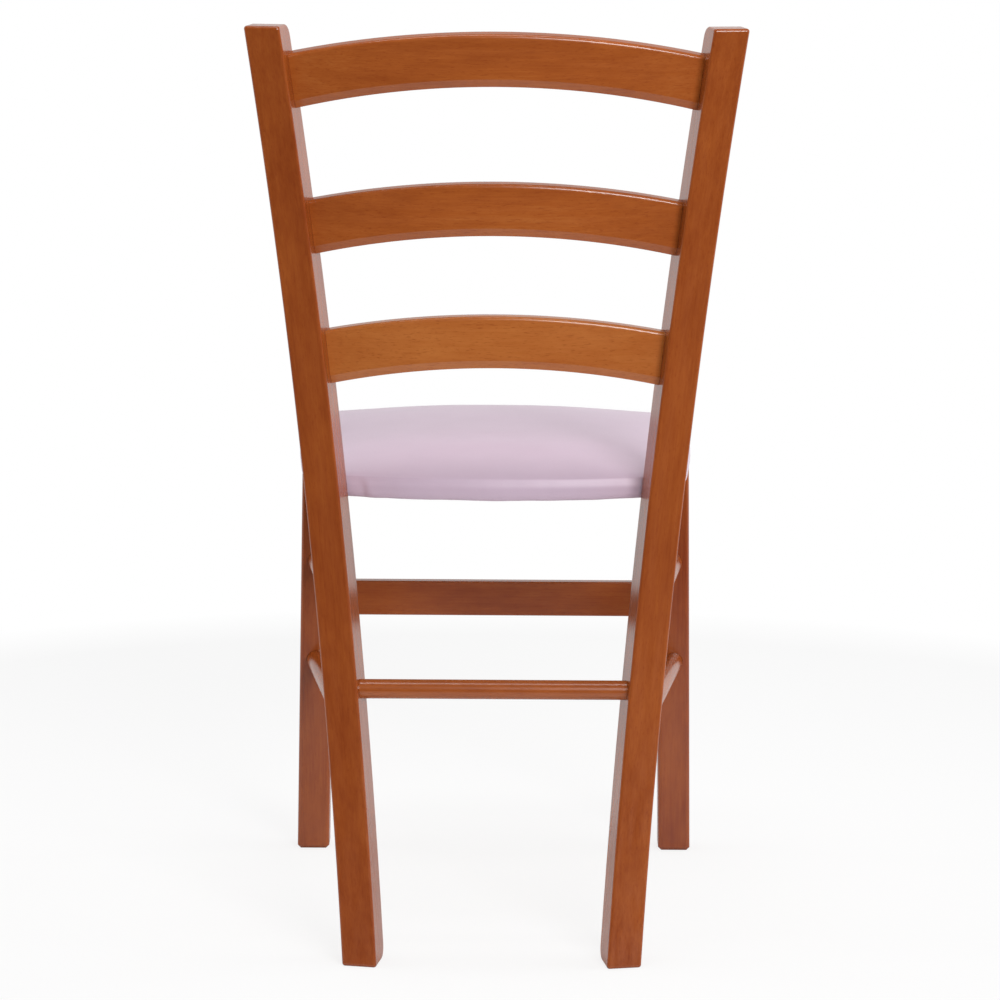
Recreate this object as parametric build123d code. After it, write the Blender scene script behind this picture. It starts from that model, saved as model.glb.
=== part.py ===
from build123d import *
import os
from math import asin, atan, cos, degrees, radians, sin, sqrt, tan

# Ladder-back dining chair of stained beech with a padded seat.
# Millimetres, +Z up, the front faces -Y, the origin is on the floor under the middle of the chair.
# Left pieces are at +X, on the left hand of someone sitting in the chair.

# Overall size: floor to post tops, and seat front to rear feet
chair_height = 860.0
chair_depth = 445.0

# Rear posts: bowed bars that spread towards the top and turn their inner faces to the rear
post_width = 32.0
post_depth = 38.0
post_foot_gap = 212.0
post_splay = 5.6
post_turn = 9.7
post_bow_radius = 2050.0
post_bow_height = 405.0
post_edge_round = 2.5
post_end_round = 14.0

# Front legs: straight, with a slight splay, their tops a little outside the seat's front corners
leg_width = 32.0
leg_depth = 32.0
leg_beyond_seat = 7.6
leg_splay = 0.93
leg_setback = 18.0
leg_edge_round = 4.0
leg_foot_chamfer = 3.0

# Back slats: arched in front view and bent in plan, leaning with the posts
slat_height = 48.0
slat_thickness = 14.0
slat_setback = 18.0
slat_arch_radius = 730.0
slat_lower_arch_radius = 645.0
slat_bow_radius = 1000.0
slat_edge_round = 3.0
slat_bevel_height = 7.5
slat_bevel_depth = 2.5
slat_tenon_thickness = 9.0

# Height of each slat's top edge, as a part of the height from the seat rails to the post tops
slat_places = {"top": 0.986, "middle": 0.6765, "lower": 0.398}

# Seat frame under the pad
rail_top_z = 424.0
rail_height = 45.0
rail_thickness = 18.0
rail_edge_round = 1.5
rail_tenon_thickness = 9.0
front_rail_inset = 3.0
block_height = 25.0
block_reach = 48.0

# Stretchers: a flat board in front, round dowels behind and at the sides
front_stretcher_top_z = 276.0
front_stretcher_height = 35.0
front_stretcher_thickness = 12.0
front_stretcher_tenon_thickness = 7.0
front_stretcher_edge_round = 1.5
dowel_diameter = 18.0
rear_dowel_z = 250.0
upper_dowel_z = 299.0
lower_dowel_z = 197.0

# Joinery: tenons in mortises, dowels in sockets
tenon_length = 12.0
tenon_shoulder = 7.0
socket_depth = 12.0
joint_clearance = 0.15
joint_end_gap = 1.0

# Seat pad: its outline, its rolled edge and its crown
seat_front_width = 369.0
seat_rear_width = 344.0
seat_front_bow = 7.0
seat_rear_bow = 15.0
seat_side_bow = 9.5
seat_front_corner = 28.0
seat_rear_corner = 56.0
seat_edge_height = 18.0
seat_crown = 21.0
seat_tuck = 3.0
seat_post_gap = 1.0
board_thickness = 9.0
cover_thickness = 1.0
cover_turn = 26.0
soft_clearance = 0.3

# Fasteners of the seat
screw_diameter = 4.0
screw_head_diameter = 8.0
screw_head_height = 2.4
screw_bite = 7.0
screw_point = 3.0
screw_hole_clearance = 0.2
counterbore_clearance = 0.6
rear_screw_from_post = 60.0

# Outlines that the pad passes through: up its edge, as parts of the tuck and of the edge height,
# then over its crown, as levels from 0 at the edge to 1 at the top of a dome
edge_steps = ((1, 0), (0.3, 0.25), (0, 0.65))
crown_levels = (0.02, 0.08, 0.2, 0.4, 0.6, 0.8, 0.95)
crown_power = 0.65
crown_corner_share = 0.95

# Blocks of room that are larger than the chair, to cut pieces off at the floor and at their tops
room = 2 * (chair_height + chair_depth)
floor_to_post_top = Pos(0, 0, chair_height / 2) * Box(room, room, chair_height)
floor_to_rail_top = Pos(0, 0, rail_top_z / 2) * Box(room, room, rail_top_z)

# Frame of the left rear post: back and up run along its inner face, out leaves that face
splay = radians(post_splay)
turn = radians(post_turn)
upright = Vector(0, 0, 1)
post_back = Vector(sin(turn), cos(turn), 0)
post_side = Vector(cos(turn), -sin(turn), 0)
post_out = post_side * cos(splay) - upright * sin(splay)
post_up = post_side * sin(splay) + upright * cos(splay)
post_foot = Vector(post_foot_gap / 2, chair_depth / 2, 0)
bow_centre = sqrt(post_bow_radius**2 - post_bow_height**2)

# Frame of the left front leg
leg_angle = radians(leg_splay)
leg_up = Vector(-sin(leg_angle), 0, cos(leg_angle))
leg_across = Vector(cos(leg_angle), 0, sin(leg_angle))
leg_front_y = leg_setback - chair_depth / 2
leg_rear_y = leg_front_y + leg_depth
leg_outer_x = seat_front_width / 2 + leg_beyond_seat + rail_top_z * tan(leg_angle)
leg_foot = Vector(leg_outer_x - leg_width / 2, leg_front_y + leg_depth / 2, 0)

rail_middle_z = rail_top_z - rail_height / 2
front_rail_y = leg_front_y + front_rail_inset + rail_thickness / 2
front_stretcher_z = front_stretcher_top_z - front_stretcher_height / 2


def bow_at(height, depth):
    """How far back the bowed surface is that lies depth in front of the post's rear face."""
    return bow_centre - sqrt((post_bow_radius + depth)**2 - (height - post_bow_height)**2)


def post_point(z, depth, out):
    """Point of the left post at height z, depth in front of its rear face, out from its inner face."""
    height = (z + out * sin(splay)) / cos(splay)
    return post_foot + post_back * bow_at(height, depth) + post_up * height + post_out * out


def post_lean(z):
    """Lean of the posts to the rear at height z, in degrees."""
    slope = tan(asin((z / cos(splay) - post_bow_height) / post_bow_radius))
    return degrees(atan((slope * cos(turn) - sin(splay) * sin(turn)) / cos(splay)))


def leg_x(z):
    """Middle of the left front leg at height z, across the chair."""
    return leg_foot.X - z * tan(leg_angle)


def mirrored(piece):
    """The same piece on the chair's other side."""
    return mirror(piece, about=Plane.YZ)


def band(first_edge, second_edge):
    """Face between two arcs, each given by three points, that run in opposite directions."""
    sides = Line(first_edge[-1], second_edge[0]) + Line(second_edge[-1], first_edge[0])
    return make_face(ThreePointArc(*first_edge) + ThreePointArc(*second_edge) + sides)


def bar_between(start, end, width, height):
    """Straight bar of upright rectangular section along the line from start to end."""
    along = (end - start).normalized()
    section = Plane(origin=start, x_dir=along.cross(upright), z_dir=along) * Rectangle(width, height)
    return extrude(section, (end - start).length)


def rod_between(start, end, diameter):
    """Round rod from start to end."""
    section = Plane(origin=start, z_dir=(end - start).normalized()) * Circle(diameter / 2)
    return extrude(section, (end - start).length)


# Posts and legs before their mortises are cut


def post_blank():
    """Left rear post: a bowed bar, cut level at both ends, its top and its foot rolled to the front."""
    low = -2 * post_width
    high = chair_height / cos(splay) + 2 * post_width
    rear = [(bow_at(height, 0), height) for height in (low, post_bow_height, high)]
    front = [(bow_at(height, post_depth), height) for height in (high, post_bow_height, low)]
    side_view = Plane(origin=post_foot, x_dir=post_back, z_dir=post_out) * band(rear, front)
    bar = extrude(side_view, post_width) & floor_to_post_top
    for end in (0, -1):
        bar = fillet(bar.faces().sort_by(Axis.Z)[end].edges().sort_by(Axis.Y)[0], post_end_round)
    return fillet(bar.edges(), post_edge_round)


def leg_blank():
    """Left front leg: a straight bar from the floor to the top of the rails."""
    section = Plane(origin=leg_foot, x_dir=leg_across, z_dir=leg_up) * Rectangle(leg_width, leg_depth)
    bar = extrude(section, rail_top_z + leg_width, both=True) & floor_to_rail_top
    bar = fillet(bar.edges().filter_by(lambda edge: edge.length > rail_top_z / 2), leg_edge_round)
    return chamfer(bar.faces().sort_by(Axis.Z)[0].edges(), leg_foot_chamfer)


# Back slats


def slat_bar(half_length, lower_by, thickness):
    """Slat bar, top edge at Z 0 and middle of its rear face at Y 0, or one that lies inside it."""
    def front_arc(z, radius):
        ends_z = z - radius + sqrt(radius**2 - half_length**2)
        return [(-half_length, ends_z), (0, z), (half_length, ends_z)]

    def plan_arc(inwards):
        radius = slat_bow_radius - inwards
        ends_y = sqrt(radius**2 - half_length**2) - slat_bow_radius
        return [(-half_length, ends_y), (0, -inwards), (half_length, ends_y)]

    upper_arc = front_arc(-lower_by, slat_arch_radius)
    lower_arc = front_arc(lower_by - slat_height, slat_lower_arch_radius)
    front_view = Plane.XZ * band(upper_arc, lower_arc[::-1])
    cheek = (slat_thickness - thickness) / 2
    plan_view = band(plan_arc(cheek), plan_arc(slat_thickness - cheek)[::-1])
    return extrude(front_view, slat_bow_radius, both=True) & extrude(plan_view, slat_bow_radius, both=True)


def rounded_slat(half_length):
    """Slat bar with soft edges and a bevel along its lower rear edge."""
    def long_edges(bar):
        edges = bar.edges().filter_by(lambda edge: edge.length > half_length)
        return edges.sort_by(lambda edge: edge.center().Y - edge.center().Z)

    bar = slat_bar(half_length, 0, slat_thickness)
    bar = fillet(long_edges(bar)[:-1], slat_edge_round)
    rear_face = bar.faces().sort_by(Axis.Y)[-1]
    return chamfer(long_edges(bar)[-1], slat_bevel_height, slat_bevel_depth, reference=rear_face)


def slat_inner_x(top_z):
    """Half of the distance between the posts' inner faces behind the middle of a slat."""
    return post_point(top_z - slat_height / 2, slat_setback + slat_thickness / 2, 0).X


def placed_slat(bar, top_z):
    """Slat bar at its height, leaning with the posts and set back from their rear faces."""
    middle_z = top_z - slat_height / 2
    end = post_point(middle_z, slat_setback, 0)
    bow = slat_bow_radius - sqrt(slat_bow_radius**2 - end.X**2)
    return Pos(0, end.Y + bow, middle_z) * Rot(-post_lean(middle_z), 0, 0) * Pos(0, 0, slat_height / 2) * bar


def back_slat(top_z, posts):
    """One slat with its shoulders against the posts and its two tenons."""
    inner_x = slat_inner_x(top_z)
    body = placed_slat(rounded_slat(inner_x + post_width / 2), top_z) - posts
    return body + placed_slat(slat_bar(inner_x + tenon_length, tenon_shoulder, slat_tenon_thickness), top_z)


def slat_mortise(top_z):
    """Room for one slat's tenons."""
    half_length = slat_inner_x(top_z) + tenon_length + joint_end_gap
    thickness = slat_tenon_thickness + 2 * joint_clearance
    return placed_slat(slat_bar(half_length, tenon_shoulder - joint_clearance, thickness), top_z)


# Rails and stretchers


def side_line(z, reach):
    """Line at height z from the left leg to the left post, reaching into both."""
    start = Vector(leg_x(z), leg_rear_y, z)
    end = post_point(z, post_depth, post_width / 2)
    along = (end - start).normalized()
    return start - along * reach, end + along * reach


def side_rail_bar(reach, width, height):
    """Bar on the left side rail's middle line."""
    return bar_between(*side_line(rail_middle_z, reach), width, height)


def leg_to_leg(y, z, reach, width, height):
    """Bar between the front legs, reaching into both."""
    half_length = leg_x(z) - leg_width / 2 / cos(leg_angle) + reach
    return bar_between(Vector(-half_length, y, z), Vector(half_length, y, z), width, height)


def front_rail_bar(reach, width, height):
    """Bar on the front rail's middle line."""
    return leg_to_leg(front_rail_y, rail_middle_z, reach, width, height)


def front_stretcher_bar(reach, width, height):
    """Bar on the front stretcher's middle line."""
    return leg_to_leg(leg_foot.Y, front_stretcher_z, reach, width, height)


def tenoned(bar, width, height, tenon_width, edge_round, ends):
    """Bar with its shoulders against the pieces at its ends, and a tenon into each."""
    body = bar(tenon_length / 2, width, height)
    body = fillet(body.edges().filter_by(lambda edge: edge.length > width + height), edge_round)
    return body - ends + bar(tenon_length, tenon_width, height - 2 * tenon_shoulder)


def mortise(bar, tenon_width, height):
    """Room for a bar's tenons."""
    slack = 2 * joint_clearance
    return bar(tenon_length + joint_end_gap, tenon_width + slack, height - 2 * tenon_shoulder + slack)


def side_dowel(z, slack=0.0, end_gap=0.0):
    """Left side dowel at height z, or with slack and end gap the room for it."""
    return rod_between(*side_line(z, socket_depth + end_gap), dowel_diameter + 2 * slack)


def rear_dowel(slack=0.0, end_gap=0.0):
    """Dowel between the rear posts, or the room for it."""
    end = post_point(rear_dowel_z, post_depth / 2, 0) + Vector(socket_depth + end_gap, 0, 0)
    return rod_between(Vector(-end.X, end.Y, end.Z), end, dowel_diameter + 2 * slack)


def corner_block(neighbours):
    """Left glue block between the front rail, the leg and the side rail."""
    start, end = side_line(rail_middle_z, 0)
    on_side_rail = start + (end - start).normalized() * block_reach
    corner = Vector(start.X, front_rail_y + rail_thickness / 2)
    on_front_rail = corner - Vector(leg_width / 2 + block_reach, 0)
    outline = Polyline(*[(point.X, point.Y) for point in (corner, on_side_rail, on_front_rail)], close=True)
    return extrude(Pos(0, 0, rail_top_z - block_height) * make_face(outline), block_height) - neighbours


# Seat pad: board, foam and cover share one outline

seat_half_width = seat_front_width / 2
seat_front_y = -chair_depth / 2
seat_post_edge = post_point(rail_top_z + seat_edge_height, post_depth, 0)
seat_rear_y = seat_post_edge.Y - seat_post_gap + seat_rear_bow
seat_middle_y = (seat_front_y + seat_rear_y) / 2
seat_rear_radius = (seat_post_edge.X**2 + seat_rear_bow**2) / (2 * seat_rear_bow)


def seat_outline(size, corner=0.0):
    """Outline of the seat on the floor plane, at a part of its full size, with wider corners if asked."""
    def sized(x, y):
        return Vector(x * size, seat_middle_y + (y - seat_middle_y) * size)

    rear_x = seat_rear_width / 2
    rear_corner_y = seat_rear_y - seat_rear_radius + sqrt(seat_rear_radius**2 - rear_x**2)
    front_corner_y = seat_front_y + seat_front_bow
    rear_corner = Vector(rear_x, rear_corner_y)
    front_corner = Vector(seat_half_width, front_corner_y)
    run = front_corner - rear_corner
    bulge = (rear_corner + front_corner) * 0.5 + Vector(-run.Y, run.X).normalized() * seat_side_bow

    rear_left = sized(rear_x, rear_corner_y)
    rear_right = sized(-rear_x, rear_corner_y)
    front_left = sized(seat_half_width, front_corner_y)
    front_right = sized(-seat_half_width, front_corner_y)
    edges = ThreePointArc(rear_right, sized(0, seat_rear_y), rear_left)
    edges += ThreePointArc(rear_left, sized(bulge.X, bulge.Y), front_left)
    edges += ThreePointArc(front_left, sized(0, seat_front_y), front_right)
    edges += ThreePointArc(front_right, sized(-bulge.X, bulge.Y), rear_right)
    face = make_face(edges)
    face = fillet(face.vertices().sort_by(Axis.Y)[:2], max(corner, seat_front_corner * size))
    return fillet(face.vertices().sort_by(Axis.Y)[-2:], max(corner, seat_rear_corner * size))


def inset_size(inset):
    """Size of the outline that lies inset inside the full one."""
    return 1 - inset / seat_half_width


def crown_row(level):
    """Size, corner radius and height of a contour line of the crown, rounder the higher it lies."""
    size = sqrt(1 - level)
    roundness = (1 - 1 / sqrt(1 + sqrt(level))) / (1 - sqrt(0.5))
    corner = crown_corner_share * roundness * size * seat_rear_width / 2
    return size, corner, seat_edge_height + seat_crown * level**crown_power


def pad(inset):
    """Pad with a tucked edge and a domed crown, smaller by inset all round."""
    full_height = seat_edge_height + seat_crown
    rows = [(inset_size(tuck * seat_tuck), 0, height * seat_edge_height) for tuck, height in edge_steps]
    rows += [crown_row(level) for level in crown_levels]
    shrink = inset / seat_half_width
    flatten = (full_height - 2 * inset) / full_height
    low = rail_top_z + inset
    outlines = [
        Pos(0, 0, low + z * flatten) * seat_outline(size - shrink, corner - inset) for size, corner, z in rows
    ]
    return loft(outlines, ruled=True)


board_bottom_z = rail_top_z + cover_thickness
board_size = inset_size(seat_tuck + cover_thickness + soft_clearance)


def slab(size, bottom_z, thickness):
    """Flat piece of the seat's outline."""
    return extrude(Pos(0, 0, bottom_z) * seat_outline(size), thickness)


def seat_foam():
    """Foam that stands on the board and fills the cover."""
    below = slab(1 + cover_turn / seat_half_width, 0, board_bottom_z + board_thickness)
    return pad(cover_thickness + soft_clearance) - below


def seat_cover():
    """Cover of even thickness, drawn over the foam and turned under the board."""
    opening = slab(inset_size(seat_tuck + cover_turn), 0, board_bottom_z)
    return pad(0) - pad(cover_thickness) - opening


# Fasteners

screw_seat_z = rail_top_z - block_height
screw_length = block_height + cover_thickness + screw_bite


def screw_at(place, slack=0.0):
    """Screw that points up, its head under screw_seat_z, or with slack the room for its shank."""
    radius = screw_diameter / 2 + slack
    head_radius = screw_head_diameter / 2
    shank = [(0, screw_length + slack), (radius, screw_length - screw_point), (radius, 0)]
    head = [(head_radius, 0), (head_radius, -screw_head_height / 2), (screw_diameter / 2, -screw_head_height)]
    outline = shank + [(0, 0)] if slack else shank + head + [(0, -screw_head_height)]
    profile = make_face(Plane.XZ * Polyline(*outline, close=True))
    return Pos(place.X, place.Y, screw_seat_z) * revolve(profile, Axis.Z)


def counterbore_at(place):
    """Room below a screw's head in a rail."""
    radius = screw_head_diameter / 2 + counterbore_clearance
    return Pos(place.X, place.Y, screw_seat_z / 2) * Cylinder(radius, screw_seat_z)


# Assembly

left_post = post_blank()
left_leg = leg_blank()
posts = [left_post, mirrored(left_post)]
legs = [left_leg, mirrored(left_leg)]
back_height = chair_height - rail_top_z
slat_tops = {name: rail_top_z + place * back_height for name, place in slat_places.items()}
dowel_heights = {"upper": upper_dowel_z, "lower": lower_dowel_z}

side_rail = tenoned(side_rail_bar, rail_thickness, rail_height, rail_tenon_thickness, rail_edge_round,
                    [left_post, left_leg])
front_rail = tenoned(front_rail_bar, rail_thickness, rail_height, rail_tenon_thickness, rail_edge_round, legs)
front_stretcher = tenoned(front_stretcher_bar, front_stretcher_thickness, front_stretcher_height,
                          front_stretcher_tenon_thickness, front_stretcher_edge_round, legs)
block = corner_block([left_leg, side_rail, front_rail])

rail_start, rail_end = side_line(rail_middle_z, 0)
rear_screw = rail_end + (rail_start - rail_end).normalized() * rear_screw_from_post
block_screw = block.center()
screws = [screw_at(place) for place in (rear_screw, block_screw)]
screws += [mirrored(screw) for screw in screws]
screw_holes = [screw_at(place, screw_hole_clearance) for place in (rear_screw, block_screw)]
seat_holes = screw_holes + [mirrored(hole) for hole in screw_holes]

left_sockets = [side_dowel(z, joint_clearance, joint_end_gap) for z in dowel_heights.values()]
side_rail_room = mortise(side_rail_bar, rail_tenon_thickness, rail_height)
slat_room = [slat_mortise(z) for z in slat_tops.values()]
post = left_post - slat_room - side_rail_room - left_sockets - rear_dowel(joint_clearance, joint_end_gap)
front_rail_room = mortise(front_rail_bar, rail_tenon_thickness, rail_height)
stretcher_room = mortise(front_stretcher_bar, front_stretcher_tenon_thickness, front_stretcher_height)
leg = left_leg - side_rail_room - front_rail_room - stretcher_room - left_sockets

paired = {
    "rear_post": post,
    "front_leg": leg,
    "seat_side_rail": side_rail - screw_holes[0] - counterbore_at(rear_screw),
    "corner_block": block - screw_holes[1],
}
for name, z in dowel_heights.items():
    paired[f"side_stretcher_{name}"] = side_dowel(z)

pieces = {
    "seat_front_rail": front_rail,
    "front_stretcher": front_stretcher,
    "rear_stretcher": rear_dowel(),
    "seat_board": slab(board_size, board_bottom_z, board_thickness) - seat_holes,
    "seat_foam": seat_foam(),
    "seat_cover": seat_cover() - seat_holes,
    "seat_screws": Compound(children=screws),
}
for name, z in slat_tops.items():
    pieces[f"back_slat_{name}"] = back_slat(z, posts)
for name, piece in paired.items():
    pieces[f"{name}_left"] = piece
    pieces[f"{name}_right"] = mirrored(piece)

os.makedirs("parts", exist_ok=True)
for name, piece in pieces.items():
    export_step(piece, f"parts/{name}.step")
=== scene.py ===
"""Looks of a ladder-back dining chair with a padded lilac seat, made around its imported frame."""

import math

import bmesh
import bpy
from bpy.props import FloatProperty, FloatVectorProperty, IntProperty, PointerProperty
from mathutils import Matrix, Vector, noise
from mathutils.bvhtree import BVHTree


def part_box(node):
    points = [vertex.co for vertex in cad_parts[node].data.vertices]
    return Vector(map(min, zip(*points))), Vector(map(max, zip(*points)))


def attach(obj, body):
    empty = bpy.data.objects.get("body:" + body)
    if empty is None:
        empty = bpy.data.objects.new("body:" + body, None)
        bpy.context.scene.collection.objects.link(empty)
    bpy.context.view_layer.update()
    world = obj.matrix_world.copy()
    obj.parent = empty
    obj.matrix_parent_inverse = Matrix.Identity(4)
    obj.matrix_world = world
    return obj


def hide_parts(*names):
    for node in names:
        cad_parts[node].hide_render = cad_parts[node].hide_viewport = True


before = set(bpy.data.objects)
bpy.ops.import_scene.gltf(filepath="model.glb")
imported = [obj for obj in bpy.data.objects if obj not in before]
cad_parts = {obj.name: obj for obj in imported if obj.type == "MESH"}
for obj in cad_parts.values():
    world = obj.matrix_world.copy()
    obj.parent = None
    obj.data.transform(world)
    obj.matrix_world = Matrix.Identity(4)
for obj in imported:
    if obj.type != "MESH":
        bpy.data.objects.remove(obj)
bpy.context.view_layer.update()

bl_info = {
    "name": "Ladder-back chair",
    "version": (1, 0, 0),
    "blender": (4, 5, 0),
    "location": "View3D > Sidebar > Chair",
    "description": "Finishes a stained beech chair, pads its seat and sets up its studio",
    "category": "Object",
}

# The chair's sides, turns of the grain along each axis, and lean of the rear posts
SIDES = ("left", "right")
ALONG_X = (0.0, 0.0, 0.0)
ALONG_Y = (0.0, 0.0, math.radians(90))
ALONG_Z = (0.0, math.radians(-90), 0.0)
POST_SPLAY = math.radians(5.6)

# Stained beech: how much each pattern of the grain changes the stain, and how pale each piece is,
# with painted light on the right post and painted shade on the right leg
STAIN_SHARES = {"cloud": 0.45, "blotch": 0.2, "rings": 0.25, "fibres": 0.3}
PALENESS = {
    "left_post": 0.24,
    # Painted light: the right post is paler than the left, for the light that falls on it from the
    # right
    "right_post": 0.28,
    "left_leg": 0.27,
    # Painted shade: the right leg is darker than the left, to offset the extra light the lamps on
    # its side throw on it
    "right_leg": 0.17,
    "top_slat": 0.45,
    "middle_slat": 0.48,
    "lower_slat": 0.72,
    "front_stretcher": 0.25,
    "rear_dowel": 0.42,
    "side_dowels": 0.3,
    "front_rail": 0.3,
    "side_rails": 0.3,
}

# Seat: height of its widest line, and closer mesh columns at the rear
WIDEST_HEIGHT = 0.0115
REAR_CROWDING = 0.5

# Mesh rows of the cover: underneath, up the edge, and over the crown to a ring that a grid fills
UNDER_ROWS = 5
UNDER_END = 0.972
EDGE_ROWS = 10
EDGE_START = 0.0002
CROWN_ROWS = 17
CROWN_START = 0.986
CROWN_END = 0.52
CROWN_CROWDING = 1.35

# Cloth simulation: its frames, and how far over the upright edge the cover is held
CLOTH_FRAMES = 20
HELD_OVER_EDGE = 0.0004

# How far the cover may stand off the pad, on its crown and on faces that are steeper than the crown
CROWN_ROOM = 0.001
EDGE_ROOM = 0.0001
CROWN_STEEPEST = 0.6

# Where the crown is slack before it swells and where it is smoothed, as shares of the way out
SLACK_ZONE = (0.75, 0.97)
SMOOTH_END = 0.955
SMOOTH_PASSES = 8
FACES_UP = 0.5

# Fuller crown near the front: where it fades across the seat, and where it starts and ends along it
FRONT_FADE = (0.02, 0.16)
FRONT_START = (0.1, 0.8)
FRONT_END = (0.86, 1.0)

# Pull of the staples: where it starts below and fades up the edge, its ripples and their scales
RIM_ZONE = (0.9, 0.965)
RIM_LEVELS = (0.6, 1.2)
EDGE_RIPPLE = 0.0004
HEM_RIPPLE = 0.0005
CUT_RIPPLE = 0.0015
LONG_RIPPLES = 30.0
SHORT_RIPPLES = 75.0
CUT_RIPPLES = 24.0

# Rear hem: what counts as the rear, how far up the hem hangs, and where its sag and its ripple fade
FACES_REAR = 0.5
HEM_LEVELS = (0.0, 0.7)
SAG_FADE = (0.075, 0.125)
HEM_FADE = (0.11, 0.13)

# Folds on the seat's rear edge: place across, lean with height and depth, then their size
REAR_FOLDS = ((0.1151, 0.33, 0.0014), (0.089, 0.1, 0.0003))
FOLD_REACH = 0.006
FOLD_CREASE = 0.0012

# Staples: line that they follow on the underside, and their least distance from the wood below
STAPLE_LINE = 0.92
STAPLE_CLEARANCE = 0.008
STAPLE_NEIGHBOURS = ("seat_side", "seat_front", "front_leg", "corner", "rear_post")

# Softboxes: width and depth, place and aim, and the spread in degrees that a grid narrows them to
KEY_BOX = ((1.3, 1.3), (-0.95, 2.6, 1.6), (-0.05, 0.15, 0.95), 75.0)
LEFT_BOX = ((1.5, 1.5), (2.4, -0.1, 1.3), (0.0, 0.1, 0.75), 75.0)
RIGHT_BOX = ((1.5, 1.5), (-2.4, -0.1, 1.3), (0.0, 0.1, 0.75), 75.0)
TOP_BOX = ((1.2, 0.4), (0.1, 0.45, 2.5), (0.05, 0.0, 0.4), 180.0)
RIGHT_SHARE = 1.4

# Surroundings: as mirrored behind the camera, at the left and overhead, then as light from above
MIRRORED_ROOM = 0.06
MIRRORED_LEFT = 0.78
MIRRORED_CEILING = 0.35
CEILING_SHARE = 0.65

# Floor: size, brightness that it throws back, and how white the camera sees it under the chair
FLOOR_SIZE = 30.0
FLOOR_GLOW = 0.85
FLOOR_WHITENESS = 0.8


# Settings


class CHAIR_PG_wood(bpy.types.PropertyGroup):
    """Stain and lacquer of the beech"""

    pale_stain: FloatVectorProperty(
        name="Pale stain",
        description="Stain where the wood takes least of it",
        subtype="COLOR",
        min=0.0,
        max=1.0,
        default=(0.5, 0.165, 0.036),
    )
    middle_stain: FloatVectorProperty(
        name="Middle stain",
        description="Stain between the palest and the deepest",
        subtype="COLOR",
        min=0.0,
        max=1.0,
        default=(0.36, 0.088, 0.0145),
    )
    deep_stain: FloatVectorProperty(
        name="Deep stain",
        description="Stain where the wood takes most of it",
        subtype="COLOR",
        min=0.0,
        max=1.0,
        default=(0.2, 0.032, 0.0045),
    )
    lacquer_roughness: FloatProperty(
        name="Lacquer roughness",
        description="Roughness of the satin lacquer",
        subtype="FACTOR",
        min=0.0,
        max=1.0,
        default=0.22,
    )
    bare_beech: FloatVectorProperty(
        name="Bare beech",
        description="Unstained glue blocks",
        subtype="COLOR",
        min=0.0,
        max=1.0,
        default=(0.62, 0.42, 0.25),
    )
    plywood: FloatVectorProperty(
        name="Plywood",
        description="Face veneer of the seat board",
        subtype="COLOR",
        min=0.0,
        max=1.0,
        default=(0.68, 0.5, 0.31),
    )


class CHAIR_PG_seat(bpy.types.PropertyGroup):
    """Cover of the seat and how it is drawn over the pad"""

    vinyl: FloatVectorProperty(
        name="Vinyl",
        description="Lilac of the coated fabric",
        subtype="COLOR",
        min=0.0,
        max=1.0,
        default=(0.57, 0.437, 0.542),
    )
    thickness: FloatProperty(
        name="Thickness",
        description="Thickness of the coated fabric",
        unit="LENGTH",
        min=0.0005,
        max=0.003,
        default=0.001,
    )
    opening: FloatProperty(
        name="Opening",
        description="Size of the opening underneath, against the seat's outline",
        subtype="FACTOR",
        min=0.5,
        max=0.95,
        default=0.85,
    )
    edge_height: FloatProperty(
        name="Edge height",
        description="Height of the seat's upright edge",
        unit="LENGTH",
        min=0.005,
        max=0.03,
        default=0.0194,
    )
    slack: FloatProperty(
        name="Slack",
        description="How far the cover lies under its full crown before the foam pushes it out",
        unit="LENGTH",
        min=0.0,
        max=0.01,
        default=0.001,
    )
    sag: FloatProperty(
        name="Hem sag",
        description="How far the hem hangs down in the middle of the rear edge",
        unit="LENGTH",
        min=0.0,
        max=0.005,
        default=0.0003,
    )
    pressure: FloatProperty(
        name="Pressure",
        description="Pressure of the foam against the cover",
        min=0.0,
        max=40.0,
        default=14.0,
    )
    swell: FloatProperty(
        name="Swell",
        description="Furthest that the foam pushes a point of the cover",
        unit="LENGTH",
        min=0.0,
        max=0.02,
        default=0.006,
    )
    front_swell: FloatProperty(
        name="Front swell",
        description="How much fuller the crown is near the seat's front",
        unit="LENGTH",
        min=0.0,
        max=0.01,
        default=0.003,
    )
    faces_around: IntProperty(
        name="Faces around",
        description="Faces of the cover's mesh around the seat before they are divided",
        min=32,
        max=512,
        default=256,
    )
    staple_pitch: FloatProperty(
        name="Staple pitch",
        description="Distance from staple to staple under the seat",
        unit="LENGTH",
        min=0.01,
        max=0.08,
        default=0.03,
    )


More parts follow.
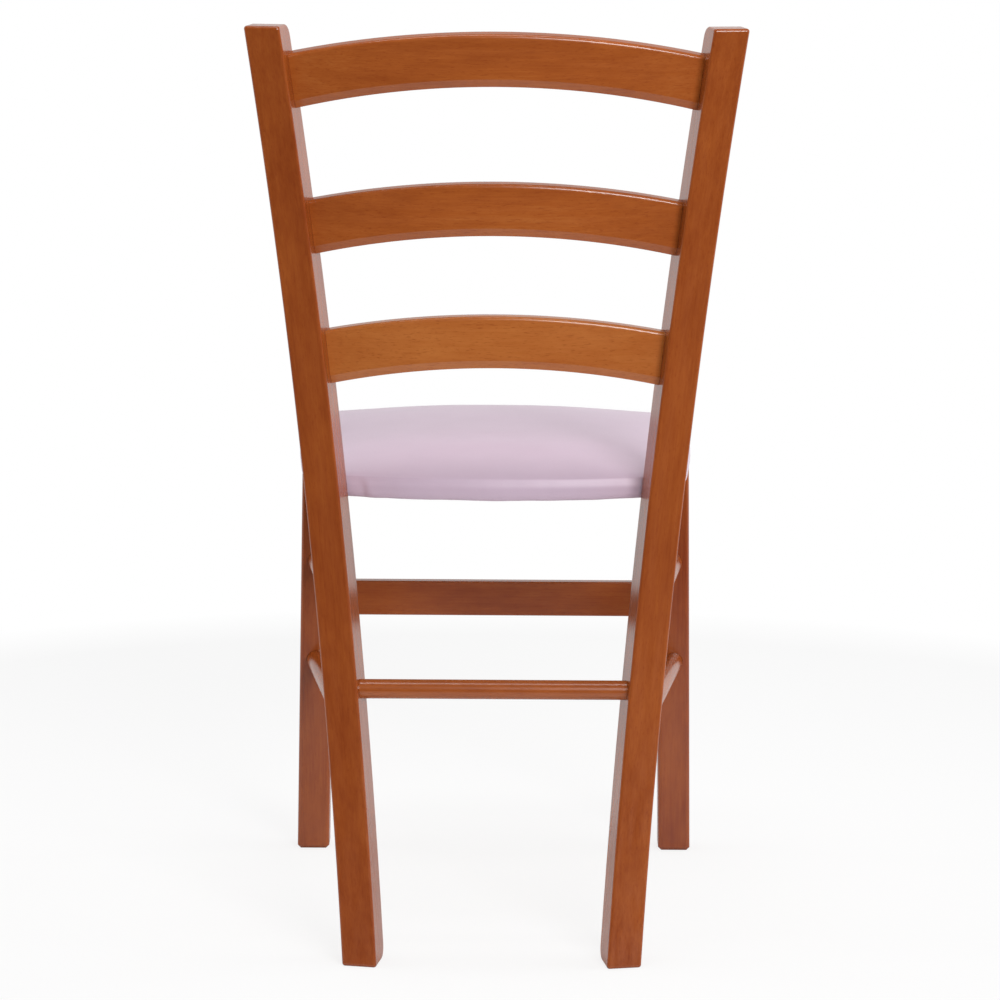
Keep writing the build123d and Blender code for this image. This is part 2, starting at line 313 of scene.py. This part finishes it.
class CHAIR_PG_stage(bpy.types.PropertyGroup):
    """Camera, floor and light"""

    camera_place: FloatVectorProperty(
        name="Camera",
        description="Where the camera stands",
        subtype="TRANSLATION",
        unit="LENGTH",
        default=(-0.012, 3.7225, 1.12264),
    )
    camera_pitch: FloatProperty(
        name="Pitch",
        description="How far the camera looks down",
        subtype="ANGLE",
        default=0.19298,
    )
    camera_turn: FloatProperty(
        name="Turn",
        description="How far the camera turns from straight behind the chair",
        subtype="ANGLE",
        default=0.00193,
    )
    camera_roll: FloatProperty(
        name="Roll",
        description="How far the camera leans to one side",
        subtype="ANGLE",
        default=0.00568,
    )
    focal_length: FloatProperty(
        name="Focal length",
        description="Focal length of the camera on a 36 mm sensor",
        unit="CAMERA",
        default=143.23,
    )
    backdrop: FloatProperty(
        name="Backdrop",
        description="Brightness of the white backdrop in front of the chair",
        min=0.0,
        max=1.0,
        default=0.85,
    )
    room: FloatProperty(
        name="Room",
        description="Brightness of the room behind the camera",
        min=0.0,
        max=1.0,
        default=0.3,
    )
    key_power: FloatProperty(
        name="Key light",
        description="Power of the softbox beside the camera",
        unit="POWER",
        min=0.0,
        default=12.8,
    )
    side_power: FloatProperty(
        name="Side lights",
        description="Power of the softboxes at the chair's sides",
        unit="POWER",
        min=0.0,
        default=4.2,
    )
    top_power: FloatProperty(
        name="Top light",
        description="Power of the softbox above the chair",
        unit="POWER",
        min=0.0,
        default=9.5,
    )
    floor: FloatVectorProperty(
        name="Floor",
        description="Colour of the floor",
        subtype="COLOR",
        min=0.0,
        max=1.0,
        default=(0.9, 0.9, 0.9),
    )


# Node helpers


def put(tree, kind, inputs=None, **settings):
    """A new node with its settings, and with its inputs set, or linked where an output is given."""
    made = tree.nodes.new(kind)
    for key, value in settings.items():
        setattr(made, key, value)
    for key, value in (inputs or {}).items():
        if isinstance(value, bpy.types.NodeSocket):
            tree.links.new(value, made.inputs[key])
        else:
            made.inputs[key].default_value = value
    return made


def opaque(colour):
    """Colour with full alpha."""
    return (*colour, 1.0)


def new_finish(name):
    """A new material with its node tree and its shader."""
    finish = bpy.data.materials.new(name)
    finish.use_nodes = True
    return finish, finish.node_tree, finish.node_tree.nodes["Principled BSDF"]


def feature_coords(tree, turn, size):
    """Coordinates turned to the grain, in units of a feature's size in metres."""
    place = put(tree, "ShaderNodeTexCoord").outputs["Object"]
    inputs = {"Vector": place, "Rotation": turn, "Scale": size}
    return put(tree, "ShaderNodeMapping", inputs, vector_type="TEXTURE").outputs["Vector"]


def streaks(tree, turn, length, width, detail=2.0, distortion=0.0):
    """Soft noise with streaks of this length and width, in metres, along the grain."""
    coords = feature_coords(tree, turn, (length, width, width))
    inputs = {"Vector": coords, "Scale": 1.0, "Detail": detail, "Distortion": distortion}
    return put(tree, "ShaderNodeTexNoise", inputs).outputs[0]


def remap(tree, value, low, high, to_low, to_high):
    """Value taken from one range to another and held inside it."""
    inputs = {"Value": value, "From Min": low, "From Max": high}
    inputs |= {"To Min": to_low, "To Max": to_high}
    return put(tree, "ShaderNodeMapRange", inputs).outputs["Result"]


def math_of(tree, operation, *values):
    """Result of a calculation on values or outputs."""
    made = put(tree, "ShaderNodeMath", dict(enumerate(values)), operation=operation)
    return made.outputs["Value"]


def mixed(tree, share, first, second):
    """Two colours mixed."""
    inputs = {0: share, 6: first, 7: second}
    return put(tree, "ShaderNodeMix", inputs, data_type="RGBA").outputs[2]


def three_tones(tree, share, low, middle, high):
    """Colour between three tones, from low at 0 to high at 1."""
    ramp = put(tree, "ShaderNodeValToRGB", {"Fac": share})
    ramp.color_ramp.elements[0].color = opaque(low)
    ramp.color_ramp.elements[1].color = opaque(high)
    ramp.color_ramp.elements.new(0.5).color = opaque(middle)
    return ramp.outputs["Color"]


def bumped(tree, height, distance, strength=1.0):
    """Normal of a surface with this relief, in metres."""
    inputs = {"Height": height, "Distance": distance, "Strength": strength}
    return put(tree, "ShaderNodeBump", inputs).outputs["Normal"]


# Finishes


def stained_beech(kind, turn):
    """Stained and lacquered beech for one kind of piece, its grain turned along the piece."""
    wood = bpy.context.scene.chair_wood
    finish, tree, shader = new_finish(f"stained_beech_{kind}")
    patterns = {
        "cloud": streaks(tree, turn, 0.14, 0.04),
        "blotch": streaks(tree, turn, 0.025, 0.012),
        "rings": streaks(tree, turn, 0.4, 0.006, 3.0, 0.4),
        "fibres": streaks(tree, turn, 0.03, 0.0016),
    }
    pores = streaks(tree, turn, 0.006, 0.0009, 1.0)
    rings = patterns["rings"]

    uptake = PALENESS[kind] - sum(STAIN_SHARES.values()) / 2
    for name, share in STAIN_SHARES.items():
        uptake = math_of(tree, "MULTIPLY_ADD", patterns[name], share, uptake)
    stain = three_tones(tree, uptake, wood.deep_stain, wood.middle_stain, wood.pale_stain)
    fleck = remap(tree, pores, 0.58, 0.74, 0.0, 0.4)
    stain = mixed(tree, fleck, stain, opaque(wood.deep_stain))

    tree.links.new(stain, shader.inputs["Base Color"])
    smooth, rough = wood.lacquer_roughness - 0.03, wood.lacquer_roughness + 0.04
    tree.links.new(remap(tree, rings, 0.3, 0.7, smooth, rough), shader.inputs["Roughness"])
    relief = math_of(tree, "MULTIPLY_ADD", pores, -0.5, rings)
    tree.links.new(bumped(tree, relief, 0.00002), shader.inputs["Normal"])
    shader.inputs["IOR"].default_value = 1.55
    return finish


def bare_wood(name, colour, turn, ring_size):
    """Sawn wood without stain or lacquer."""
    finish, tree, shader = new_finish(name)
    rings = streaks(tree, turn, 0.25, ring_size, 4.0, 0.6)
    fibres = streaks(tree, turn, 0.015, 0.0007)
    darkness = 0.62
    dark = [darkness * part for part in colour]
    tone = mixed(tree, remap(tree, rings, 0.3, 0.7, 0.0, 1.0), opaque(dark), opaque(colour))
    tone = mixed(tree, remap(tree, fibres, 0.5, 0.75, 0.0, 0.35), tone, opaque(dark))
    tree.links.new(tone, shader.inputs["Base Color"])
    tree.links.new(bumped(tree, fibres, 0.00025), shader.inputs["Normal"])
    shader.inputs["Roughness"].default_value = 0.72
    return finish


def lilac_vinyl(name):
    """Coated fabric with a fine pressed grain."""
    seat = bpy.context.scene.chair_seat
    finish, tree, shader = new_finish(name)
    mottle = streaks(tree, ALONG_X, 0.03, 0.03, 3.0)
    cells_at = feature_coords(tree, ALONG_X, (0.0011, 0.0011, 0.0011))
    inputs = {"Vector": cells_at, "Scale": 1.0}
    cells = put(tree, "ShaderNodeTexVoronoi", inputs, feature="SMOOTH_F1")
    contrast = 0.015
    pale = [min(1.0, (1.0 + contrast) * part) for part in seat.vinyl]
    deep = [(1.0 - contrast) * part for part in seat.vinyl]
    tone = mixed(tree, remap(tree, mottle, 0.3, 0.7, 0.0, 1.0), opaque(deep), opaque(pale))
    tree.links.new(tone, shader.inputs["Base Color"])
    grain = cells.outputs["Distance"]
    tree.links.new(remap(tree, grain, 0.1, 0.7, 0.36, 0.46), shader.inputs["Roughness"])
    tree.links.new(bumped(tree, grain, 0.00008, 0.7), shader.inputs["Normal"])
    shader.inputs["Sheen Weight"].default_value = 0.12
    shader.inputs["Sheen Roughness"].default_value = 0.4
    return finish


def zinc_steel(name):
    """Zinc-plated steel of the screws and staples."""
    finish, tree, shader = new_finish(name)
    cloud = streaks(tree, ALONG_X, 0.004, 0.004, 3.0)
    tone = mixed(tree, cloud, (0.5, 0.48, 0.44, 1.0), (0.72, 0.7, 0.66, 1.0))
    tree.links.new(tone, shader.inputs["Base Color"])
    tree.links.new(remap(tree, cloud, 0.3, 0.7, 0.28, 0.45), shader.inputs["Roughness"])
    shader.inputs["Metallic"].default_value = 1.0
    return finish


def dress(names, finish):
    """Gives CAD nodes their finish."""
    for name in names:
        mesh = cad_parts[name].data
        mesh.materials.clear()
        mesh.materials.append(finish)


# Seat cover


def eased(value, low, high):
    """Smooth step from 0 at low to 1 at high."""
    share = min(1.0, max(0.0, (value - low) / (high - low)))
    return share * share * (3.0 - 2.0 * share)


def spaced(low, high, count, crowding=1.0):
    """Values from low to high, which lie closer at the low end where the crowding is above 1."""
    return [low + (high - low) * (step / (count - 1))**crowding for step in range(count)]


def new_piece(name, mesh, finish):
    """Object at the origin that rides on the chair and takes a finish."""
    piece = bpy.data.objects.new(name, mesh)
    bpy.context.scene.collection.objects.link(piece)
    mesh.materials.clear()
    mesh.materials.append(finish)
    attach(piece, "root")
    return piece


def pad_hull():
    """Closed outer form of the CAD cover."""
    hull = bmesh.new()
    hull.from_mesh(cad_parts["seat_cover"].data)
    bmesh.ops.remove_doubles(hull, verts=hull.verts, dist=1e-5)
    bmesh.ops.delete(hull, geom=hull.edges[:], context="EDGES_FACES")
    made = bmesh.ops.convex_hull(hull, input=hull.verts[:])
    left_over = made["geom_interior"] + made["geom_unused"]
    inside = {item for item in left_over if isinstance(item, bmesh.types.BMVert)}
    bmesh.ops.delete(hull, geom=list(inside), context="VERTS")
    bmesh.ops.recalc_face_normals(hull, faces=hull.faces[:])
    return hull


class CoverShape:
    """The seat's outer form, as the CAD cover has it."""

    def __init__(self):
        low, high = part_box("seat_cover")
        hull = pad_hull()
        self.tree = BVHTree.FromBMesh(hull)
        hull.free()
        self.bottom = low.z
        self.middle = Vector((0.0, (low.y + high.y) / 2, low.z))
        self.half_depth = (high.y - low.y) / 2
        self.above = Vector((0.0, 0.0, high.z - low.z + 0.01))

    def side(self, out, height):
        """Place on the upright edge at a height, in a direction from the seat's middle."""
        return self.tree.ray_cast(self.middle + Vector((0.0, 0.0, height)), out)[0]

    def under(self, out, share):
        """Place on the underside, at a share of the way to its edge."""
        flat = self.side(out, WIDEST_HEIGHT) - self.middle
        return self.middle + Vector((flat.x, flat.y, 0.0)) * share

    def top(self, place):
        """Place on the crown over or under another place."""
        start = Vector((place.x, place.y, self.bottom)) + self.above
        return self.tree.ray_cast(start, Vector((0.0, 0.0, -1.0)))[0]

    def crown(self, out, share):
        """Place on the crown, at a share of the way to its edge."""
        return self.top(self.under(out, share))

    def outward(self, place):
        """Level direction from the seat's middle to a place."""
        return Vector((place.x, place.y - self.middle.y, 0.0)).normalized()

    def share(self, place):
        """How far out a place is, from 0 in the middle to 1 at the edge."""
        edge = self.under(self.outward(place), 1.0)
        return (place.xy - self.middle.xy).length / (edge.xy - self.middle.xy).length

    def fitted(self, place):
        """The place, moved where it sinks into the crown's foam or stands too far off the pad."""
        near, normal, _, distance = self.tree.find_nearest(place)
        crowned = normal.z > CROWN_STEEPEST
        if (place - near).dot(normal) <= 0.0:
            return near if crowned else place
        room = CROWN_ROOM if crowned else EDGE_ROOM
        return near + (place - near).normalized() * min(distance, room)

    def front_swell(self, place):
        """How much of the fuller crown near the seat's front a place has."""
        along = (self.middle.y - place.y) / self.half_depth
        across = 1.0 - eased(abs(place.x), *FRONT_FADE)
        return across * eased(along, *FRONT_START) * (1.0 - eased(along, *FRONT_END))


def clock(shape, place):
    """Direction of a place from the seat's middle, from 0 at the rear round to a full turn."""
    out = shape.outward(place)
    return math.atan2(out.x, out.y) % (2 * math.pi)


def wrapped_grid(shape):
    """Cover as rows around the seat, from its cut edge to a ring on its crown that a grid fills."""
    seat = bpy.context.scene.chair_seat
    under_shares = spaced(seat.opening, UNDER_END, UNDER_ROWS)
    edge_heights = spaced(EDGE_START, EDGE_START + seat.edge_height, EDGE_ROWS)
    crown_shares = spaced(CROWN_START, CROWN_END, CROWN_ROWS, CROWN_CROWDING)
    rows = [(shape.under, share) for share in under_shares]
    rows += [(shape.side, height) for height in edge_heights]
    rows += [(shape.crown, share) for share in crown_shares]
    bm = bmesh.new()
    bmesh.ops.create_grid(bm, x_segments=seat.faces_around, y_segments=len(rows) - 1, size=0.5)
    for vertex in bm.verts:
        turn = 2 * math.pi * (vertex.co.x + 0.5)
        turn -= REAR_CROWDING * math.sin(turn)
        place, level = rows[round((vertex.co.y + 0.5) * (len(rows) - 1))]
        vertex.co = place(Vector((math.sin(turn), math.cos(turn), 0.0)), level)
    bmesh.ops.remove_doubles(bm, verts=bm.verts[:], dist=1e-6)

    edge_top = shape.bottom + seat.edge_height
    ring = [edge for edge in bm.edges if edge.is_boundary and edge.verts[0].co.z > edge_top]
    ring.sort(key=lambda edge: clock(shape, (edge.verts[0].co + edge.verts[1].co) / 2))
    quarter = len(ring) // 4
    first = quarter // 2
    second = first + 2 * quarter
    rails = ring[first:first + quarter] + ring[second:second + quarter]
    filled = bmesh.ops.grid_fill(bm, edges=rails, mat_nr=0, use_smooth=True)["faces"]
    for vertex in {vertex for face in filled for vertex in face.verts}:
        vertex.co = shape.top(vertex.co)
    bmesh.ops.recalc_face_normals(bm, faces=bm.faces[:])
    return bm


def swollen(bm, shape):
    """Lets the foam push the cover out, held underneath and along its upright edge."""
    seat = bpy.context.scene.chair_seat
    start = bpy.data.meshes.new("cover_trial")
    bm.to_mesh(start)
    rest = [vertex.co.copy() for vertex in start.vertices]
    body = bpy.data.objects.new("cover_trial", start)
    scene = bpy.context.scene
    scene.collection.objects.link(body)
    held = body.vertex_groups.new(name="held")
    edge_top = shape.bottom + seat.edge_height + HELD_OVER_EDGE
    held.add([i for i, place in enumerate(rest) if place.z < edge_top], 1.0, "REPLACE")
    cloth = body.modifiers.new("cloth", "CLOTH").settings
    cloth.quality = 6
    cloth.mass = 0.25
    cloth.tension_stiffness = 40.0
    cloth.compression_stiffness = 20.0
    cloth.shear_stiffness = 15.0
    cloth.bending_stiffness = 1.5
    cloth.use_pressure = True
    cloth.uniform_pressure_force = seat.pressure
    cloth.vertex_group_mass = "held"
    cloth.effector_weights.gravity = 0.0
    for moment in range(1, CLOTH_FRAMES + 1):
        scene.frame_set(moment)
    found = body.evaluated_get(bpy.context.evaluated_depsgraph_get()).data
    pushed = [vertex.co - was for vertex, was in zip(found.vertices, rest)]
    scene.frame_set(1)
    bpy.data.objects.remove(body)
    bm.verts.ensure_lookup_table()
    for vertex, was, push in zip(bm.verts, rest, pushed):
        vertex.co = was + push.normalized() * min(push.length, seat.swell)


def drawn_tight(place, shape):
    """Place on the cover's edge, pulled by staples, with folds and a sagging hem at the rear."""
    seat = bpy.context.scene.chair_seat
    level = (place.z - shape.bottom) / seat.edge_height
    rim = eased(shape.share(place), *RIM_ZONE) * (1.0 - eased(level, *RIM_LEVELS))
    if rim <= 0.0:
        return place
    out = shape.outward(place)
    ripple = noise.noise(place * LONG_RIPPLES) + 0.5 * noise.noise(place * SHORT_RIPPLES)
    moved = place + out * (EDGE_RIPPLE * rim * ripple)
    if out.y > FACES_REAR:
        low = 1.0 - eased(level, *HEM_LEVELS)
        sag = seat.sag * (1.0 - eased(abs(place.x), *SAG_FADE))
        sag += HEM_RIPPLE * (1.0 + ripple) * (1.0 - eased(abs(place.x), *HEM_FADE))
        moved.z -= rim * low * sag
        for fold_x, lean, depth in REAR_FOLDS:
            off = fold_x + lean * (place.z - shape.bottom) - place.x
            crest = math.exp(-abs(off) / FOLD_REACH) * math.tanh(off / FOLD_CREASE)
            moved += out * (depth * rim * crest)
    return moved


def cover_mesh():
    """Mesh of the cover: the CAD form, slack at first, swollen by its foam, drawn tight below."""
    seat = bpy.context.scene.chair_seat
    shape = CoverShape()
    bm = wrapped_grid(shape)
    for vertex in bm.verts:
        if vertex.co.z > shape.bottom + seat.edge_height:
            vertex.co.z -= seat.slack * (1.0 - eased(shape.share(vertex.co), *SLACK_ZONE))
    swollen(bm, shape)
    for vertex in bm.verts:
        vertex.co = shape.fitted(vertex.co)
    crown = [vertex for vertex in bm.verts if vertex.normal.z > FACES_UP]
    inner = [vertex for vertex in crown if shape.share(vertex.co) < SMOOTH_END]
    axes = {"use_axis_x": True, "use_axis_y": True, "use_axis_z": True}
    for _ in range(SMOOTH_PASSES):
        bmesh.ops.smooth_vert(bm, verts=inner, factor=0.5, **axes)
    for vertex in inner:
        vertex.co.z += seat.front_swell * shape.front_swell(vertex.co)
    for vertex in bm.verts:
        if vertex.is_boundary:
            ripple = CUT_RIPPLE * noise.noise(vertex.co * CUT_RIPPLES)
            vertex.co += shape.outward(vertex.co) * ripple
        vertex.co = drawn_tight(vertex.co, shape)
    for face in bm.faces:
        face.smooth = True
    made = bpy.data.meshes.new("seat_cover_drawn")
    bm.to_mesh(made)
    bm.free()
    return made, shape


def staple(bm, place, along):
    """One staple: a rounded bar of wire whose crown lies on the cover."""
    length, wire, drop, corner = 0.0095, 0.0011, 0.0007, 0.00028
    turn = Matrix.Rotation(math.atan2(along.y, along.x), 4, "Z")
    stretch = Matrix.Diagonal((length, wire, drop, 1.0))
    where = Matrix.Translation(place - Vector((0.0, 0.0, drop / 2))) @ turn @ stretch
    made = bmesh.ops.create_cube(bm, size=1.0, matrix=where)
    edges = {edge for vertex in made["verts"] for edge in vertex.link_edges}
    bmesh.ops.bevel(
        bm,
        geom=list(edges),
        offset=corner,
        offset_type="OFFSET",
        segments=2,
        profile=0.5,
        affect="EDGES",
        material=-1,
        clamp_overlap=True,
    )


def staple_places(shape, pitch):
    """Places and directions of the staples on the turned-under margin, clear of the wood below."""
    graph = bpy.context.evaluated_depsgraph_get()
    names = [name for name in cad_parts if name.startswith(STAPLE_NEIGHBOURS)]
    below = [BVHTree.FromObject(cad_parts[name], graph) for name in names]
    turns = [math.radians(step / 4) for step in range(4 * 360)]
    outward = [Vector((math.sin(turn), math.cos(turn), 0.0)) for turn in turns]
    margin = [shape.under(out, STAPLE_LINE) for out in outward]
    last = margin[0]
    for place, ahead in zip(margin, margin[1:]):
        if (place - last).length < pitch:
            continue
        last = place
        if min(tree.find_nearest(place)[3] for tree in below) > STAPLE_CLEARANCE:
            yield place, ahead - place


# Stage


def surroundings(stage):
    """World that is white to the camera, bright beyond the chair and dim behind the camera."""
    world = bpy.data.worlds.new("studio")
    world.use_nodes = True
    tree = world.node_tree
    tree.nodes.clear()
    direction = put(tree, "ShaderNodeTexCoord").outputs["Generated"]
    parts = put(tree, "ShaderNodeSeparateXYZ", {"Vector": direction}).outputs
    across, towards, up = parts["X"], parts["Y"], parts["Z"]
    rays = put(tree, "ShaderNodeLightPath").outputs
    shown = remap(tree, towards, -0.05, 0.45, 1.0, MIRRORED_ROOM)
    shown = math_of(tree, "MULTIPLY", shown, remap(tree, across, -0.3, 0.3, 1.0, MIRRORED_LEFT))
    shown = math_of(tree, "MULTIPLY", shown, remap(tree, up, 0.3, 0.6, 1.0, MIRRORED_CEILING))
    shown = math_of(tree, "MULTIPLY", shown, rays["Is Glossy Ray"])
    shown = math_of(tree, "MAXIMUM", shown, rays["Is Camera Ray"])
    shown = math_of(tree, "MAXIMUM", shown, rays["Is Transmission Ray"])
    lit = remap(tree, towards, -0.2, 0.6, stage.backdrop, stage.room)
    lit = math_of(tree, "MULTIPLY", lit, remap(tree, up, 0.3, 1.0, 1.0, CEILING_SHARE))
    lit = math_of(tree, "MULTIPLY", lit, rays["Is Diffuse Ray"])
    strength = math_of(tree, "MAXIMUM", shown, lit)
    light = put(tree, "ShaderNodeBackground", {"Color": (1.0, 1.0, 1.0, 1.0), "Strength": strength})
    put(tree, "ShaderNodeOutputWorld", {"Surface": light.outputs["Background"]})
    return world


def floor(stage):
    """Pale floor that takes the chair's shadow and turns into the white backdrop further out."""
    bm = bmesh.new()
    bmesh.ops.create_grid(bm, x_segments=8, y_segments=8, size=FLOOR_SIZE)
    mesh = bpy.data.meshes.new("floor")
    bm.to_mesh(mesh)
    bm.free()
    finish, tree, shader = new_finish("pale_floor")
    shader.inputs["Base Color"].default_value = opaque(stage.floor)
    shader.inputs["Roughness"].default_value = 0.9
    shader.inputs["Specular IOR Level"].default_value = 0.1
    place = put(tree, "ShaderNodeTexCoord").outputs["Object"]
    behind = put(tree, "ShaderNodeSeparateXYZ", {"Vector": place}).outputs["Y"]
    away = put(tree, "ShaderNodeVectorMath", {0: place}, operation="LENGTH").outputs["Value"]
    seen = put(tree, "ShaderNodeLightPath").outputs["Is Camera Ray"]
    glow = remap(tree, behind, 0.3, 0.9, FLOOR_GLOW, MIRRORED_ROOM)
    bright = math_of(tree, "MAXIMUM", seen, glow)
    nearest = math_of(tree, "MULTIPLY", seen, FLOOR_WHITENESS)
    share = math_of(tree, "MAXIMUM", nearest, remap(tree, away, 0.5, 1.3, 0.0, 1.0))
    white = put(tree, "ShaderNodeEmission", {"Color": (1.0, 1.0, 1.0, 1.0), "Strength": bright})
    both = put(tree, "ShaderNodeMixShader", {0: share, 1: shader.outputs[0], 2: white.outputs[0]})
    tree.links.new(both.outputs[0], tree.nodes["Material Output"].inputs["Surface"])
    mesh.materials.append(finish)
    ground = bpy.data.objects.new("floor", mesh)
    bpy.context.scene.collection.objects.link(ground)


def softbox(name, power, size, place, aim, spread):
    """Soft light of a width and depth, turned to its aim and narrowed to a spread in degrees."""
    lamp = bpy.data.lights.new(name, "AREA")
    lamp.shape = "RECTANGLE"
    lamp.energy = power
    lamp.size, lamp.size_y = size
    lamp.spread = math.radians(spread)
    box = bpy.data.objects.new(name, lamp)
    bpy.context.scene.collection.objects.link(box)
    turn = (Vector(aim) - Vector(place)).to_track_quat("-Z", "Y")
    box.matrix_world = Matrix.Translation(place) @ turn.to_matrix().to_4x4()
    return box


# Operators


class CHAIR_OT_rear_posts(bpy.types.Operator):
    """Stain the bowed rear posts, each with its grain along its own lean"""

    bl_idname = "chair.rear_posts"
    bl_label = "Rear posts"

    def execute(self, context):
        for side, lean in zip(SIDES, (POST_SPLAY, -POST_SPLAY)):
            along = (0.0, math.radians(-90) + lean, 0.0)
            dress([f"rear_post_{side}"], stained_beech(f"{side}_post", along))
        return {"FINISHED"}


class CHAIR_OT_front_legs(bpy.types.Operator):
    """Stain the front legs"""

    bl_idname = "chair.front_legs"
    bl_label = "Front legs"

    def execute(self, context):
        for side in SIDES:
            dress([f"front_leg_{side}"], stained_beech(f"{side}_leg", ALONG_Z))
        return {"FINISHED"}


class CHAIR_OT_back_slats(bpy.types.Operator):
    """Stain the arched back slats"""

    bl_idname = "chair.back_slats"
    bl_label = "Back slats"

    def execute(self, context):
        for level in ("top", "middle", "lower"):
            dress([f"back_slat_{level}"], stained_beech(f"{level}_slat", ALONG_X))
        return {"FINISHED"}


class CHAIR_OT_stretchers(bpy.types.Operator):
    """Stain the flat front stretcher and the dowels"""

    bl_idname = "chair.stretchers"
    bl_label = "Stretchers"

    def execute(self, context):
        dress(["front_stretcher"], stained_beech("front_stretcher", ALONG_X))
        dress(["rear_stretcher"], stained_beech("rear_dowel", ALONG_X))
        names = [f"side_stretcher_{level}_{side}" for level in ("upper", "lower") for side in SIDES]
        dress(names, stained_beech("side_dowels", ALONG_Y))
        return {"FINISHED"}


class CHAIR_OT_seat_frame(bpy.types.Operator):
    """Finish the rails, the glue blocks and the seat board"""

    bl_idname = "chair.seat_frame"
    bl_label = "Seat frame"

    def execute(self, context):
        wood = context.scene.chair_wood
        blocks = bare_wood("bare_beech", wood.bare_beech, ALONG_X, ring_size=0.004)
        board = bare_wood("plywood", wood.plywood, ALONG_Y, ring_size=0.018)
        dress(["seat_front_rail"], stained_beech("front_rail", ALONG_X))
        dress([f"seat_side_rail_{side}" for side in SIDES], stained_beech("side_rails", ALONG_Y))
        dress([f"corner_block_{side}" for side in SIDES], blocks)
        dress(["seat_board"], board)
        return {"FINISHED"}


class CHAIR_OT_seat_cover(bpy.types.Operator):
    """Draw the cover over the pad, turn it under and staple it"""

    bl_idname = "chair.seat_cover"
    bl_label = "Seat cover"

    def execute(self, context):
        seat = context.scene.chair_seat
        mesh, shape = cover_mesh()
        cover = new_piece("seat_cover_drawn", mesh, lilac_vinyl("lilac_vinyl"))
        finer = cover.modifiers.new("finer", "SUBSURF")
        finer.levels = 1
        finer.render_levels = 1
        wall = cover.modifiers.new("wall", "SOLIDIFY")
        wall.thickness = seat.thickness
        wall.offset = -1.0
        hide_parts("seat_cover", "seat_foam")

        bm = bmesh.new()
        for place, along in staple_places(shape, seat.staple_pitch):
            staple(bm, place, along)
        staples = bpy.data.meshes.new("seat_staples")
        bm.to_mesh(staples)
        bm.free()
        new_piece("seat_staples", staples, zinc_steel("zinc_staples"))
        return {"FINISHED"}


class CHAIR_OT_seat_screws(bpy.types.Operator):
    """Plate the screws that hold the seat"""

    bl_idname = "chair.seat_screws"
    bl_label = "Seat screws"

    def execute(self, context):
        dress(["seat_screws"], zinc_steel("zinc_screws"))
        return {"FINISHED"}


class CHAIR_OT_stage(bpy.types.Operator):
    """Set the floor, the surroundings, the softboxes and the camera"""

    bl_idname = "chair.stage"
    bl_label = "Stage"

    def execute(self, context):
        scene = context.scene
        stage = scene.chair_stage
        scene.view_settings.view_transform = "Standard"
        scene.world = surroundings(stage)
        floor(stage)
        softbox("key_softbox", stage.key_power, *KEY_BOX)
        softbox("left_softbox", stage.side_power, *LEFT_BOX).visible_glossy = False
        softbox("right_softbox", RIGHT_SHARE * stage.side_power, *RIGHT_BOX).visible_glossy = False
        softbox("top_softbox", stage.top_power, *TOP_BOX)
        lens = bpy.data.cameras.new("camera")
        lens.lens = stage.focal_length
        lens.sensor_width = 36.0
        camera = bpy.data.objects.new("camera", lens)
        scene.collection.objects.link(camera)
        looks = Matrix.Rotation(math.pi + stage.camera_turn, 4, "Z")
        looks = looks @ Matrix.Rotation(math.pi / 2 - stage.camera_pitch, 4, "X")
        looks = looks @ Matrix.Rotation(stage.camera_roll, 4, "Z")
        camera.matrix_world = Matrix.Translation(stage.camera_place) @ looks
        scene.camera = camera
        return {"FINISHED"}


# Panel and registration


PIECES = (
    "rear_posts",
    "front_legs",
    "back_slats",
    "stretchers",
    "seat_frame",
    "seat_cover",
    "seat_screws",
    "stage",
)


class CHAIR_PT_sidebar(bpy.types.Panel):
    """Settings and steps of the chair"""

    bl_idname = "CHAIR_PT_sidebar"
    bl_label = "Ladder-back chair"
    bl_space_type = "VIEW_3D"
    bl_region_type = "UI"
    bl_category = "Chair"

    def draw(self, context):
        for name in ("chair_wood", "chair_seat", "chair_stage"):
            group = getattr(context.scene, name)
            box = self.layout.box()
            for key in group.bl_rna.properties.keys():
                if key not in ("rna_type", "name"):
                    box.prop(group, key)
        for piece in PIECES:
            self.layout.operator(f"chair.{piece}")


CLASSES = (
    CHAIR_PG_wood,
    CHAIR_PG_seat,
    CHAIR_PG_stage,
    CHAIR_OT_rear_posts,
    CHAIR_OT_front_legs,
    CHAIR_OT_back_slats,
    CHAIR_OT_stretchers,
    CHAIR_OT_seat_frame,
    CHAIR_OT_seat_cover,
    CHAIR_OT_seat_screws,
    CHAIR_OT_stage,
    CHAIR_PT_sidebar,
)


def register():
    for cls in CLASSES:
        bpy.utils.register_class(cls)
    bpy.types.Scene.chair_wood = PointerProperty(type=CHAIR_PG_wood)
    bpy.types.Scene.chair_seat = PointerProperty(type=CHAIR_PG_seat)
    bpy.types.Scene.chair_stage = PointerProperty(type=CHAIR_PG_stage)


def unregister():
    del bpy.types.Scene.chair_stage
    del bpy.types.Scene.chair_seat
    del bpy.types.Scene.chair_wood
    for cls in reversed(CLASSES):
        bpy.utils.unregister_class(cls)


def main():
    register()
    for piece in PIECES:
        getattr(bpy.ops.chair, piece)()


if __name__ == "__main__":
    main()
